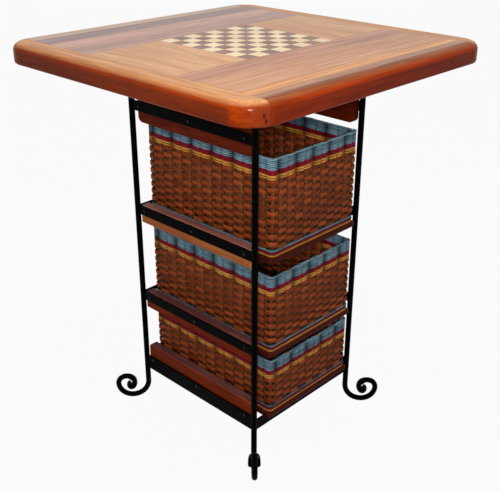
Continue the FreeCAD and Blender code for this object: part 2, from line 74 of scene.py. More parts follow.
def linear(code: str) -> tuple[float, float, float, float]:
    """Turn an sRGB hex colour into a linear one.

    Args:
        code: six hex digits after a hash sign.

    Returns:
        Red, green, blue and an alpha of one.
    """
    parts = [int(code[i:i + 2], 16) / 255 for i in (1, 3, 5)]
    red, green, blue = (c / 12.92 if c <= 0.04045 else ((c + 0.055) / 1.055) ** 2.4 for c in parts)
    return red, green, blue, 1.0


def add(
    tree: bpy.types.NodeTree, kind: str, inputs: dict | None = None, stops: list | None = None, **settings
) -> bpy.types.Node:
    """Add a shader node with its settings, values and links.

    Args:
        tree: node tree that takes the node.
        kind: node type, without the common prefix.
        inputs: socket name or number to a value, or to the socket that feeds it.
        stops: places and hex colours of a colour ramp.
        settings: plain properties of the node.

    Returns:
        The new node.
    """
    made = tree.nodes.new(f"ShaderNode{kind}")
    for name, value in settings.items():
        setattr(made, name, value)
    for name, value in (inputs or {}).items():
        if isinstance(value, bpy.types.NodeSocket):
            tree.links.new(value, made.inputs[name])
        else:
            made.inputs[name].default_value = value
    for place, (position, code) in enumerate(stops or []):
        ramp = made.color_ramp.elements
        stop = ramp[place] if place < len(ramp) else ramp.new(position)
        stop.position = position
        stop.color = linear(code)
    return made


def new_material(name: str) -> tuple[bpy.types.Material, bpy.types.NodeTree, bpy.types.Node]:
    """Start a node material.

    Args:
        name: the material's name.

    Returns:
        The material, its tree and its surface shader.
    """
    material = bpy.data.materials.new(name)
    material.use_nodes = True
    return material, material.node_tree, material.node_tree.nodes["Principled BSDF"]


def looking_rays(tree: bpy.types.NodeTree) -> bpy.types.NodeSocket:
    """Find the rays that look at the surroundings: the camera's own, mirrored ones and those through glass.

    Args:
        tree: node tree of the floor or the world.

    Returns:
        A socket that is one for such a ray and zero for the others.
    """
    path = add(tree, "LightPath")
    shown = path.outputs["Is Camera Ray"]
    for kind in ("Is Glossy Ray", "Is Transmission Ray"):
        shown = add(tree, "Math", {0: shown, 1: path.outputs[kind]}, operation="MAXIMUM").outputs[0]
    return shown


class Grain(Enum):
    """Direction in which a board's fibres run."""

    ALONG_X = 0
    ALONG_Y = 1
    ALONG_Z = 2

    def scale(self, along_mm: float, across_mm: float) -> tuple[float, float, float]:
        """Give the pattern scale, per metre, of streaks of a length and a width."""
        return tuple(1 / ((along_mm if axis == self.value else across_mm) * MM) for axis in range(3))


@dataclass(frozen=True)
class Blemish:
    """A knot or a drying crack: a small dark spot with soft edges."""

    place_mm: tuple[float, float, float]
    reach_mm: tuple[float, float, float]
    colour: str
    strength: float = 0.85
    core: float = 0.5

    def over(
        self, tree: bpy.types.NodeTree, coords: bpy.types.Node, under: bpy.types.NodeSocket
    ) -> bpy.types.NodeSocket:
        """Lay the spot over a colour.

        Args:
            tree: the material's tree.
            coords: its texture coordinates.
            under: colour below the spot.

        Returns:
            The colour with the spot on it.
        """
        off = add(tree, "VectorMath", {
            0: coords.outputs["Object"], 1: tuple(side * MM for side in self.place_mm)}, operation="SUBTRACT")
        sized = add(tree, "VectorMath", {
            0: off.outputs[0], 1: tuple(1 / (side * MM) for side in self.reach_mm)}, operation="MULTIPLY")
        away = add(tree, "VectorMath", {0: sized.outputs[0]}, operation="LENGTH")
        share = add(tree, "MapRange", {
            "Value": away.outputs["Value"], "From Min": self.core, "To Min": self.strength, "To Max": 0.0})
        mixed = add(tree, "Mix", {0: share.outputs[0], 6: under, 7: linear(self.colour)}, data_type="RGBA")
        return mixed.outputs[2]


@dataclass(frozen=True)
class VarnishedWood:
    """Planed hardwood under clear varnish: long fibres, broad figure, darker end grain, painted shade on the
    side faces, a wet gloss.
    """

    name: str
    pale: str
    body: str
    dark: str
    # Colours of sideways faces: painted shade, deeper and redder than the lighter top colours
    side: tuple[str, str] = ("#6A240A", "#8C3A10")
    end: str = "#8A3018"
    grain: Grain = Grain.ALONG_X
    figure_mm: tuple[float, float] = (420.0, 26.0)
    fibre_mm: tuple[float, float] = (110.0, 2.4)
    streak: str = "#C4B2A6"
    streak_share: float = 0.8
    joint: str = "#2A1208"
    joint_mm: float = 1.4
    joint_depth: float = 0.4
    roughness: float = 0.36
    gloss: float = 0.05
    coat: float = 0.2
    blemishes: tuple[Blemish, ...] = ()

    def material(self, node: str, seed: float) -> bpy.types.Material:
        """Make the finish for one board.

        Args:
            node: CAD node of the board, whose edges carry a fine dark joint line.
            seed: shift of the pattern, so that no two boards are alike.

        Returns:
            The material.
        """
        material, tree, shader = new_material(f"{self.name} {node}")
        coords = add(tree, "TexCoord")
        shift = tuple(seed * step for step in PATTERN_STEP)
        layers = []
        for size_mm, detail, distortion in ((self.figure_mm, 3.0, 1.1), (self.fibre_mm, 5.0, 0.3)):
            mapping = add(tree, "Mapping", {
                "Vector": coords.outputs["Object"], "Location": shift, "Scale": self.grain.scale(*size_mm)})
            layers.append(add(tree, "TexNoise", {
                "Vector": mapping.outputs["Vector"], "Scale": 1.0, "Detail": detail, "Roughness": 0.6,
                "Distortion": distortion}))
        figure, fibre = layers
        tint = add(tree, "ValToRGB", {"Fac": figure.outputs["Fac"]},
                   stops=[(0.30, self.dark), (0.70, self.pale)])
        middle = tint.color_ramp.elements.new(0.5)
        middle.color = linear(self.body)
        # Painted shade: faces turned sideways take the deeper side colours, faces turned up the lighter top
        # colours
        painted_side_shade = add(tree, "ValToRGB", {"Fac": figure.outputs["Fac"]},
                    stops=[(0.35, self.side[0]), (0.65, self.side[1])])
        faced = add(tree, "SeparateXYZ", {"Vector": coords.outputs["Normal"]})
        upward = add(tree, "MapRange", {"Value": faced.outputs[2], "From Min": 0.45, "From Max": 1.0})
        side_shaded_colour = add(tree, "Mix", {
            0: upward.outputs[0], 6: painted_side_shade.outputs["Color"], 7: tint.outputs["Color"]}, data_type="RGBA")
        streak = add(tree, "ValToRGB", {"Fac": fibre.outputs["Fac"]},
                     stops=[(0.32, self.streak), (0.62, "#FFFFFF")])
        streaked = add(tree, "Mix", {
            0: self.streak_share, 6: side_shaded_colour.outputs[2], 7: streak.outputs["Color"]},
            data_type="RGBA", blend_type="MULTIPLY")
        square_on = add(tree, "Math", {0: faced.outputs[self.grain.value]}, operation="ABSOLUTE")
        end_share = add(tree, "MapRange", {"Value": square_on.outputs[0], "From Min": 0.45, "From Max": 0.9})
        ended = add(tree, "Mix", {0: end_share.outputs[0], 6: streaked.outputs[2], 7: linear(self.end)},
                    data_type="RGBA")
        shade = self._joint_shade(tree, coords, node)
        jointed = add(tree, "Mix", {0: shade, 6: ended.outputs[2], 7: linear(self.joint)}, data_type="RGBA")
        colour = jointed.outputs[2]
        for blemish in self.blemishes:
            colour = blemish.over(tree, coords, colour)
        tree.links.new(colour, shader.inputs["Base Color"])
        rough = add(tree, "MapRange", {
            "Value": fibre.outputs["Fac"], "To Min": self.roughness + 0.08, "To Max": self.roughness - 0.06})
        tree.links.new(rough.outputs[0], shader.inputs["Roughness"])
        bump = add(tree, "Bump", {"Height": fibre.outputs["Fac"], "Strength": 0.12, "Distance": 0.3 * MM})
        tree.links.new(bump.outputs["Normal"], shader.inputs["Normal"])
        shader.inputs["IOR"].default_value = 1.5
        shader.inputs["Specular IOR Level"].default_value = self.gloss
        shader.inputs["Coat Weight"].default_value = self.coat
        shader.inputs["Coat Roughness"].default_value = 0.06
        return material

    def _joint_shade(
        self, tree: bpy.types.NodeTree, coords: bpy.types.Node, node: str
    ) -> bpy.types.NodeSocket:
        """Shade the lines where a board meets its neighbours.

        Args:
            tree: the material's tree.
            coords: its texture coordinates.
            node: CAD node of the board.

        Returns:
            A socket that is higher on the joint lines.
        """
        low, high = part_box(node)
        place = add(tree, "SeparateXYZ", {"Vector": coords.outputs["Object"]})
        nearest = None
        for axis in (0, 1):
            middle, reach = (low[axis] + high[axis]) / 2, (high[axis] - low[axis]) / 2
            off = add(tree, "Math", {0: place.outputs[axis], 1: middle}, operation="SUBTRACT")
            away = add(tree, "Math", {0: off.outputs[0]}, operation="ABSOLUTE")
            gap = add(tree, "Math", {0: reach, 1: away.outputs[0]}, operation="SUBTRACT")
            if nearest:
                gap = add(tree, "Math", {0: gap.outputs[0], 1: nearest}, operation="MINIMUM")
            nearest = gap.outputs[0]
        line = add(tree, "MapRange", {
            "Value": nearest, "From Max": self.joint_mm * MM, "To Min": self.joint_depth, "To Max": 0.0})
        return line.outputs[0]


@dataclass(frozen=True)
class InlaidSquares:
    """Veneer squares of one wood, each cut from another spot, so their tones differ a little."""

    name: str
    pale: str
    dark: str
    side_mm: float = 38.1
    fibre_mm: tuple[float, float] = (60.0, 3.0)

    def material(self) -> bpy.types.Material:
        """Make the finish of all squares of one colour."""
        material, tree, shader = new_material(self.name)
        coords = add(tree, "TexCoord")
        cell = add(tree, "VectorMath", {
            0: coords.outputs["Object"], 1: (1 / (self.side_mm * MM),) * 3}, operation="MULTIPLY")
        floor = add(tree, "VectorMath", {0: cell.outputs[0]}, operation="FLOOR")
        lot = add(tree, "TexWhiteNoise", {"Vector": floor.outputs[0]}, noise_dimensions="2D")
        shifted = add(tree, "VectorMath", {
            0: coords.outputs["Object"], 1: lot.outputs["Color"]}, operation="ADD")
        mapping = add(tree, "Mapping", {
            "Vector": shifted.outputs[0], "Scale": Grain.ALONG_Y.scale(*self.fibre_mm)})
        fibre = add(tree, "TexNoise", {"Vector": mapping.outputs[0], "Scale": 1.0, "Detail": 4.0})
        tone = add(tree, "Math", {0: fibre.outputs["Fac"], 1: lot.outputs["Value"]}, operation="ADD")
        half = add(tree, "Math", {0: tone.outputs[0], 1: 0.5}, operation="MULTIPLY")
        tint = add(tree, "ValToRGB", {"Fac": half.outputs[0]}, stops=[(0.15, self.dark), (0.8, self.pale)])
        tree.links.new(tint.outputs["Color"], shader.inputs["Base Color"])
        shader.inputs["Roughness"].default_value = 0.36
        shader.inputs["Specular IOR Level"].default_value = 0.05
        shader.inputs["Coat Weight"].default_value = 0.2
        shader.inputs["Coat Roughness"].default_value = 0.06
        return material


@dataclass(frozen=True)
class PaintedIron:
    """Forged iron under gloss black enamel: near black, with soft dents that break up its highlights."""

    name: str = "Black enamelled iron"
    colour: str = "#010101"
    iron_wear_and_reed_shade: str = "#040303"
    dent_mm: float = 9.0

    def material(self) -> bpy.types.Material:
        """Make the finish."""
        material, tree, shader = new_material(self.name)
        coords = add(tree, "TexCoord")
        dents = add(tree, "TexNoise", {
            "Vector": coords.outputs["Object"], "Scale": 1 / (self.dent_mm * MM), "Detail": 3.0})
        wear = add(tree, "ValToRGB", {"Fac": dents.outputs["Fac"]},
                   stops=[(0.3, self.colour), (0.75, self.iron_wear_and_reed_shade)])
        tree.links.new(wear.outputs["Color"], shader.inputs["Base Color"])
        rough = add(tree, "MapRange", {"Value": dents.outputs["Fac"], "To Min": 0.34, "To Max": 0.52})
        tree.links.new(rough.outputs[0], shader.inputs["Roughness"])
        shader.inputs["Specular IOR Level"].default_value = 0.015
        bump = add(tree, "Bump", {"Height": dents.outputs["Fac"], "Strength": 0.25, "Distance": 0.5 * MM})
        tree.links.new(bump.outputs["Normal"], shader.inputs["Normal"])
        return material


@dataclass(frozen=True)
class ScrewSteel:
    """Blackened steel screws, rubbed brighter in soft patches."""

    name: str = "Blackened steel screw"
    dull: str = "#050404"
    bright: str = "#141211"
    rub_mm: float = 3.0

    def material(self) -> bpy.types.Material:
        """Make the finish."""
        material, tree, shader = new_material(self.name)
        coords = add(tree, "TexCoord")
        rub = add(tree, "TexNoise", {
            "Vector": coords.outputs["Object"], "Scale": 1 / (self.rub_mm * MM), "Detail": 2.0})
        tint = add(tree, "ValToRGB", {"Fac": rub.outputs["Fac"]},
                   stops=[(0.3, self.dull), (0.7, self.bright)])
        tree.links.new(tint.outputs["Color"], shader.inputs["Base Color"])
        shader.inputs["Metallic"].default_value = 0.8
        shader.inputs["Roughness"].default_value = 0.4
        return material


@dataclass(frozen=True)
class Reed:
    """Round reed, dyed or stained: painted light on each proud crown, painted shade in the dips and on the
    strands' edges, tones that vary by strand.
    """

    name: str
    pale: str
    body: str
    # Colour of the painted shade in dips and on strand edges
    dip: str
    fleck_mm: float = 5.0
    fleck_share: float = 0.6
    tone_share: float = 0.5

    def material(self) -> bpy.types.Material:
        """Make the finish from the strands' crown and tone values, where the crown sets painted light and
        painted shade.
        """
        material, tree, shader = new_material(self.name)
        coords = add(tree, "TexCoord")
        crown = add(tree, "Attribute", attribute_name="crown")
        tone = add(tree, "Attribute", attribute_name="tone")
        fleck = add(tree, "TexNoise", {
            "Vector": coords.outputs["Object"], "Scale": 1 / (self.fleck_mm * MM), "Detail": 4.0})
        flecked = add(tree, "Math", {0: fleck.outputs["Fac"], 1: self.fleck_share}, operation="MULTIPLY")
        lift = add(tree, "Math", {
            0: tone.outputs["Fac"], 1: self.tone_share, 2: flecked.outputs[0]}, operation="MULTIPLY_ADD")
        tint = add(tree, "ValToRGB", {"Fac": lift.outputs[0]}, stops=[(0.3, self.body), (0.75, self.pale)])
        # Painted light and shade: proud crowns take the reed's colour, while dips, strand edges and the flat
        # stakes lean to the dark dip colour
        lit_share = add(tree, "MapRange", {"Value": crown.outputs["Fac"], "From Min": 0.1, "From Max": 0.5})
        iron_wear_and_reed_shade = add(tree, "Mix", {0: lit_share.outputs[0], 6: linear(self.dip), 7: tint.outputs["Color"]},
                   data_type="RGBA")
        tree.links.new(iron_wear_and_reed_shade.outputs[2], shader.inputs["Base Color"])
        bump = add(tree, "Bump", {"Height": fleck.outputs["Fac"], "Strength": 0.3, "Distance": 0.4 * MM})
        tree.links.new(bump.outputs["Normal"], shader.inputs["Normal"])
        shader.inputs["Roughness"].default_value = 0.5
        shader.inputs["Specular IOR Level"].default_value = 0.06
        shader.inputs["Coat Weight"].default_value = 0.03
        shader.inputs["Coat Roughness"].default_value = 0.25
        return material


def dress(node: str, material: bpy.types.Material) -> None:
    """Give a CAD node its finish.

    Args:
        node: name of the node.
        material: finish that it gets.
    """
    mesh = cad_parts[node].data
    mesh.materials.clear()
    mesh.materials.append(material)
    LOG.info("dressed %s in %s", node, material.name)


def new_piece(
    name: str, shape: bmesh.types.BMesh, body: str, material: bpy.types.Material, stands_for: str
) -> None:
    """Turn a finished shape into a piece that rides on a body.

    Args:
        name: the piece's name.
        shape: its shape, which is freed.
        body: CAD body that carries it.
        material: its finish.
        stands_for: CAD node that it replaces.
    """
    bmesh.ops.recalc_face_normals(shape, faces=shape.faces)
    for face in shape.faces:
        face.smooth = True
    mesh = bpy.data.meshes.new(name)
    shape.to_mesh(mesh)
    shape.free()
    mesh.materials.append(material)
    piece = bpy.data.objects.new(name, mesh)
    bpy.context.scene.collection.objects.link(piece)
    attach(piece, body)
    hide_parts(stands_for)
    LOG.info("built %s: %d faces", name, len(mesh.polygons))


@dataclass
class TableTop:
    """Glued slab of planks, strips and bands round an inlaid chessboard."""

    panel: VarnishedWood = VarnishedWood(
        "Varnished mesquite", "#E4AE7C", "#D69E6C", "#C48A58", grain=Grain.ALONG_Y)
    front_plank: VarnishedWood = VarnishedWood("Varnished cherry", "#DAA278", "#C88E64", "#B27850")
    front_rose: VarnishedWood = VarnishedWood("Varnished rose walnut", "#D29C74", "#B87E60", "#A06850")
    front_grey: VarnishedWood = VarnishedWood("Varnished brown walnut", "#CC9264", "#B4805A", "#9E6A4A")
    amber: VarnishedWood = VarnishedWood("Varnished heart pine", "#F4B060", "#E09C5C", "#C88450")
    # The back boards are paler and more mauve than their front twins: a painted reflection of the pale room
    # over the wood's own tone
    back_rose: VarnishedWood = VarnishedWood("Varnished walnut with painted reflection", "#C49A88", "#B68C7E", "#A67C6C")
    back_plank: VarnishedWood = VarnishedWood("Varnished cherry with painted reflection", "#D6A894", "#CA9A88", "#BC8C78")
    back_grey: VarnishedWood = VarnishedWood("Varnished grey walnut", "#A6867C", "#987A78", "#886A68")
    back_edge: VarnishedWood = VarnishedWood("Varnished edge with painted reflection", "#DABAA0", "#CEAE92", "#BE9E80")
    front_edge: VarnishedWood = VarnishedWood(
        "Varnished padauk edge", "#A2643A", "#92542C", "#7E4422", side=("#862600", "#A83600"),
        gloss=0.02, coat=0.1,
        blemishes=(Blemish((262.0, -432.0, 1058.0), (9.0, 12.0, 5.0), "#3A1004", 0.6),))
    end: VarnishedWood = VarnishedWood(
        "Varnished padauk end band", "#E4AA72", "#D69A66", "#C28652", side=("#802800", "#A23A00"),
        end="#7A2C0E", grain=Grain.ALONG_Y, gloss=0.02, coat=0.12,
        blemishes=(Blemish((-391.0, -425.5, 1060.0), (4.0, 5.0, 7.0), "#3A0A08"),
                   Blemish((-386.5, -427.5, 1049.0), (4.0, 5.0, 7.0), "#3A0A08")))
    backing: VarnishedWood = VarnishedWood("Plain pine", "#D2A878", "#BE9060", "#A8784A", coat=0.0)
    light: InlaidSquares = InlaidSquares("Inlaid maple squares", "#F0DAB0", "#E0C292")
    dark: InlaidSquares = InlaidSquares("Inlaid walnut squares", "#946650", "#744A3A")

    def boards(self) -> dict[str, VarnishedWood]:
        """Give each board's finish."""
        return {
            "front_plank": self.front_plank, "back_plank": self.back_plank, "left_panel": self.panel,
            "right_panel": self.panel, "front_rose_strip": self.front_rose, "back_rose_strip": self.back_rose,
            "front_grey_strip": self.front_grey, "back_grey_strip": self.back_grey, "amber_strip": self.amber,
            "front_edge_band": self.front_edge, "back_edge_band": self.back_edge, "left_end_band": self.end,
            "right_end_band": self.end, "chess_backing": self.backing, "top_battens": self.backing,
        }

    def build(self) -> None:
        """Dress every board and square of the top."""
        for seed, (node, wood) in enumerate(self.boards().items(), start=1):
            dress(node, wood.material(node, float(seed)))
        dress("light_squares", self.light.material())
        dress("dark_squares", self.dark.material())


@dataclass
class IronStand:
    """Four scroll-footed legs with their flat bars, stops and screws."""

    iron: PaintedIron = PaintedIron()
    steel: ScrewSteel = ScrewSteel()

    def build(self) -> None:
        """Dress the ironwork and its screws."""
        enamel = self.iron.material()
        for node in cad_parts:
            if node.endswith(("_leg", "_bar", "_stop")):
                dress(node, enamel)
        dress("wood_screws", self.steel.material())


@dataclass
class Shelving:
    """Aprons under the top, and three shelves with a rail on either side."""

    apron: VarnishedWood = VarnishedWood(
        "Varnished rosewood", "#6E2C18", "#5C2010", "#46160A", side=("#641604", "#8C2E0C"), end="#5A1C0E",
        grain=Grain.ALONG_Y, figure_mm=(120.0, 14.0), gloss=0.02, coat=0.03)
    # Rail tops are mauve, a painted reflection of the pale room on the varnish. The upper rails' finish is a
    # lighter copy of the other rails', painted light where they catch more of it
    upper_rail_painted_lighter: VarnishedWood = VarnishedWood(
        "Varnished cherry rail", "#B07870", "#9E6860", "#8C5850", side=("#D07440", "#EC9A58"), end="#8A3C1C",
        grain=Grain.ALONG_Y, gloss=0.02, coat=0.03)
    rail: VarnishedWood = VarnishedWood(
        "Varnished padauk rail", "#86544E", "#744644", "#623836", side=("#842200", "#A83C00"), end="#7A2C12",
        grain=Grain.ALONG_Y, gloss=0.02, coat=0.03)
    board: VarnishedWood = VarnishedWood(
        "Varnished cherry shelf", "#6A2E1C", "#582212", "#44180C", side=("#440A06", "#64160C"), end="#481410",
        gloss=0.02, coat=0.03)

    def build(self) -> None:
        """Dress the aprons, rails and shelf boards."""
        for seed, side in enumerate(("left", "right"), start=20):
            dress(f"{side}_apron", self.apron.material(f"{side}_apron", float(seed)))
        for seed, shelf in enumerate(SHELVES, start=30):
            dress(f"{shelf}_shelf_board", self.board.material(f"{shelf}_shelf_board", float(seed)))
            wood = self.upper_rail_painted_lighter if shelf == "upper" else self.rail
            for side in ("left", "right"):
                node = f"{side}_{shelf}_rail"
                dress(node, wood.material(node, seed + 0.5 * (side == "right")))


@dataclass
class Outline:
    """Rounded rectangle that a basket's wall follows, level with the floor."""

    centre: Vector
    half_x: float
    half_y: float
    radius: float

    def runs(self) -> tuple[float, float, float]:
        """Give the lengths of a straight run along X, one along Y, and one corner."""
        return 2 * (self.half_x - self.radius), 2 * (self.half_y - self.radius), self.radius * math.pi / 2

    def length(self) -> float:
        """Give the length all the way round."""
        return 2 * sum(self.runs()) + 2 * self.runs()[2]

    def at(self, share: float) -> tuple[Vector, Vector]:
        """Find a place on the outline.

        Args:
            share: share of the way round, anticlockwise from the middle of the front.

        Returns:
            The place, and the way outwards there.
        """
        run_x, run_y, corner = self.runs()
        left = (share % 1.0) * self.length() + run_x / 2
        for side in range(5):
            straight = run_x if side % 2 == 0 else run_y
            out = Matrix.Rotation(side * math.pi / 2, 3, "Z") @ Vector((0, -1, 0))
            along = Vector((-out.y, out.x, 0))
            reach = self.half_y if side % 2 == 0 else self.half_x
            if left <= straight:
                return self.centre + out * reach + along * (left - straight / 2), out
            left -= straight
            if left <= corner:
                turn = Matrix.Rotation(left / self.radius, 3, "Z") @ out
                pivot = self.centre + out * (reach - self.radius) + along * (straight / 2)
                return pivot + turn * self.radius, turn
            left -= corner
        raise ValueError("the outline is shorter than its runs")


@dataclass
class ReedBand:
    """A run of woven rows of one colour, from one height to another."""

    colour: str
    low: float
    high: float
    rows: int


# Gives, for a step, how far out a strand lies, its height as a share, and how far it hangs
Offsets = Callable[[int], tuple[float, float, float]]
# Gives, for a step and an angle round a strand, how proud its surface stands, which the reed finish paints as
# light on proud parts and as shade in the dips
Crowns = Callable[[int, float], float]


@dataclass
class ReedBasket:
    """Basket of woven reed: brown field on flat stakes, coloured bands at the rim, cords at the foot."""

    shelf: str
    finishes: dict[str, bpy.types.Material]
    corner: float = 14 * MM
    wall: float = 9 * MM
    front_stakes: int = 10
    side_stakes: int = 12
    steps: int = 10
    sides: int = 8
    bulge: float = 2.3 * MM
    dive: float = 4.6 * MM
    droop: float = 2.6 * MM
    strand: float = 2.2 * MM
    tone_by_stake: float = 0.6
    tone_by_strand: float = 0.4
    # The crown values set how much painted light each part takes in the reed finish; low values give painted
    # shade
    crown_power: float = 0.7
    rim_bands: tuple[tuple[str, float, int], ...] = (
        ("blue", 28 * MM, 6), ("red", 12 * MM, 3), ("gold", 12.5 * MM, 2))
    band_overlap: float = 0.54
    band_crown: float = 0.15
    band_crown_rise: float = 0.6
    band_crown_power: float = 2.5
    waist_depth: float = 0.3
    waist_width: float = 0.14
    arch_power: float = 0.45
    arch_level: float = 0.4
    brown_row: float = 10.1 * MM
    brown_square: float = 0.5
    brown_flat: float = 1.7
    brown_swell: float = 0.2
    brown_uneven: float = 0.4
    brown_droop: float = 0.25
    foot_cord: float = 6.8 * MM
    foot_swell: float = 1.04
    foot_crown: float = 0.34
    rim_half: float = 1.6 * MM
    rim_crown: float = 0.45
    stake_share: float = 0.7
    stake_half: float = 1.2 * MM
    stake_drop: float = 0.4 * MM
    flat_crown: float = 0.2
    folded_end: tuple[float, float, float] = (10 * MM, 3.2 * MM, 1.6 * MM)
    folded_sink: float = 0.2 * MM
    folded_every: int = 4
    folded_crown: float = 0.6
    base_lap: float = 3 * MM
    base_slats: int = 8
    base_overlap: float = 0.58
    base_swing: float = 0.3
    slat_share: float = 0.99
    slat_thickness: float = 0.8 * MM
    merge: float = 0.001 * MM
    first_seed: int = 11
    draws: random.Random = field(init=False)

    def __post_init__(self) -> None:
        """Read the basket's box and lay out its outline."""
        self.draws = random.Random(SHELVES.index(self.shelf) + self.first_seed)
        self.low, self.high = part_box(f"{self.shelf}_basket_wall")
        middle = (self.low + self.high) / 2
        inset = self.wall / 2
        self.outline = Outline(
            Vector((middle.x, middle.y, 0)), (self.high.x - self.low.x) / 2 - inset,
            (self.high.y - self.low.y) / 2 - inset, self.corner - inset)
        self.stakes = 2 * (self.front_stakes + self.side_stakes)
        count = self.stakes * self.steps
        self.track = [self.outline.at(self.share_at(step / self.steps)) for step in range(count + 1)]

    def share_at(self, stake: float) -> float:
        """Find how far round the outline a stake stands, as the sides have wider gaps than the front.

        Args:
            stake: the stake's number, counted anticlockwise from the middle of the front.

        Returns:
            Share of the way round.
        """
        run_x, run_y, corner = self.outline.runs()
        front, side = (run_x + corner) / self.outline.length(), (run_y + corner) / self.outline.length()
        left, share = stake + self.front_stakes / 2, -front / 2
        for number in range(5):
            stakes, length = (self.front_stakes, front) if number % 2 == 0 else (self.side_stakes, side)
            if left <= stakes:
                return share + length * left / stakes
            left -= stakes
            share += length
        raise ValueError("the basket has fewer stakes")

    def bands(self) -> list[ReedBand]:
        """List the woven bands from the rim down to the brown field."""
        listed, top = [], self.high.z
        for colour, height, rows in self.rim_bands:
            listed.append(ReedBand(colour, top - height, top, rows))
            top -= height
        foot = self.low.z + 3 * self.foot_cord
        listed.append(ReedBand("brown", foot, top, 2 * round((top - foot) / self.brown_row / 2)))
        return listed

    def ring(
        self, shape: bmesh.types.BMesh, height: float, half: float, thick: float,
        offset: Offsets, crown: Crowns, squareness: float = 1.0
    ) -> None:
        """Roll a flat grid into one strand that closes round the basket.

        Args:
            shape: mesh that takes the strand.
            height: level of the strand's middle.
            half: half the strand's height.
            thick: half its thickness.
            offset: where the strand lies at each step.
            crown: how proud its surface stands.
            squareness: power that flattens the strand, where one is round.
        """
        count = len(self.track) - 1
        tones = [self.tone_by_stake * self.draws.random() for _ in range(self.stakes)]
        tone = self.tone_by_strand * self.draws.random()
        proud = shape.verts.layers.float["crown"]
        toned = shape.verts.layers.float["tone"]
        made = bmesh.ops.create_grid(shape, x_segments=count, y_segments=self.sides, size=0.5)["verts"]
        shifts = [offset(step) for step in range(count)]
        for vert in made:
            step = round((vert.co.x + 0.5) * count) % count
            angle = (vert.co.y + 0.5) * math.tau
            place, out = self.track[step]
            lean, share, hang = shifts[step]
            vert.co = place + out * (lean + thick * self.flattened(math.cos(angle), squareness))
            vert.co.z = height - hang + half * share * self.flattened(math.sin(angle), squareness)
            vert[proud] = crown(step, angle)
            vert[toned] = tone + tones[round(step / self.steps) % self.stakes]
        bmesh.ops.remove_doubles(shape, verts=made, dist=self.merge)

    @staticmethod
    def flattened(value: float, power: float) -> float:
        """Push a sine or cosine outwards, so that a strand is flatter than round."""
        return math.copysign(abs(value) ** power, value)

    def brown_row_ring(self, shape: bmesh.types.BMesh, band: ReedBand, row: int) -> None:
        """Weave one row in front of every other stake.

        Args:
            shape: mesh that takes the row.
            band: band that the row belongs to.
            row: the row's number, which sets the stakes it passes in front of.
        """
        pitch = (band.high - band.low) / band.rows
        spread = [1 + self.draws.uniform(-self.brown_uneven, self.brown_uneven) for _ in range(self.stakes)]

        def wave(step: int) -> float:
            """Give how far the strand is to the outside, from -1 to 1."""
            return max(-1.0, min(1.0, self.brown_flat * math.cos(math.pi * (step / self.steps + row))))

        def offset(step: int) -> tuple[float, float, float]:
            """Give the strand's lean, its share of height and how far it hangs."""
            out = wave(step)
            lean = (self.bulge if out > 0 else self.dive) * out
            share = 1 + self.brown_swell * spread[round(step / self.steps) % self.stakes]
            return lean, share, self.brown_droop * self.droop * out

        def crown(step: int, angle: float) -> float:
            """Give how proud the strand's surface stands."""
            out = wave(step)
            return abs(out) * max(0.0, math.cos(angle) * math.copysign(1, out)) ** self.crown_power

        height = band.low + (row + 0.5) * pitch
        self.ring(shape, height, pitch / 2, self.strand, offset, crown, self.brown_square)

    def band_row_ring(self, shape: bmesh.types.BMesh, band: ReedBand, row: int) -> None:
        """Lay one thin strand of a coloured band, which dives behind the wall after every second stake.

        Args:
            shape: mesh that takes the strand.
            band: band that the strand belongs to.
            row: the strand's number.
        """
        pitch = (band.high - band.low) / band.rows

        def arch(step: int) -> float:
            """Give how far the strand is to the outside, from 0 to 1."""
            turn = (step / self.steps + 0.5) % 2.0
            waist = 1 - self.waist_depth * math.exp(-((turn - 1.0) / self.waist_width) ** 2)
            return waist * math.sin(math.pi * turn / 2) ** self.arch_power

        def offset(step: int) -> tuple[float, float, float]:
            """Give the strand's lean, its share of height and how far it hangs."""
            out = arch(step)
            return self.bulge - self.dive * (1 - out), 1.0, self.droop * (out - self.arch_level)

        def crown(step: int, angle: float) -> float:
            """Give how proud the strand's surface stands."""
            rise = self.band_crown + self.band_crown_rise * arch(step) ** 2
            return rise * abs(math.cos(angle)) ** self.band_crown_power

        height = band.low + (row + 0.5) * pitch
        self.ring(shape, height, self.band_overlap * pitch, self.strand, offset, crown)

    def foot_ring(self, shape: bmesh.types.BMesh, place: int) -> None:
        """Lay one smooth cord round the foot.

        Args:
            shape: mesh that takes the cord.
            place: its place, counted from the shelf.
        """
        half = self.foot_cord / 2
        lean = self.wall / 2 - half
        self.ring(shape, self.low.z + (place + 0.5) * self.foot_cord, half, half,
                  lambda step: (lean, self.foot_swell, 0.0),
                  lambda step, angle: self.foot_crown * max(0.0, math.cos(angle)) ** self.crown_power)

    def rim_ring(self, shape: bmesh.types.BMesh) -> None:
        """Close the rim with one flat strand along its top."""
        self.ring(shape, self.high.z - self.rim_half, self.rim_half, self.wall / 2,
                  lambda step: (0.0, 1.0, 0.0), lambda step, angle: self.rim_crown)

    @staticmethod
    def new_shape() -> bmesh.types.BMesh:
        """Start a mesh with the values that the reed finish reads."""
        shape = bmesh.new()
        shape.verts.layers.float.new("crown")
        shape.verts.layers.float.new("tone")
        return shape

    @staticmethod
    def mark(shape: bmesh.types.BMesh, verts: list[bmesh.types.BMVert], crown: float, tone: float) -> None:
        """Give all of one flat piece of reed the same crown and tone.

        Args:
            shape: mesh that holds the piece.
            verts: the piece's vertices.
            crown: how proud it stands.
            tone: its tone.
        """
        layers = shape.verts.layers.float
        for vert in verts:
            vert[layers["crown"]], vert[layers["tone"]] = crown, tone

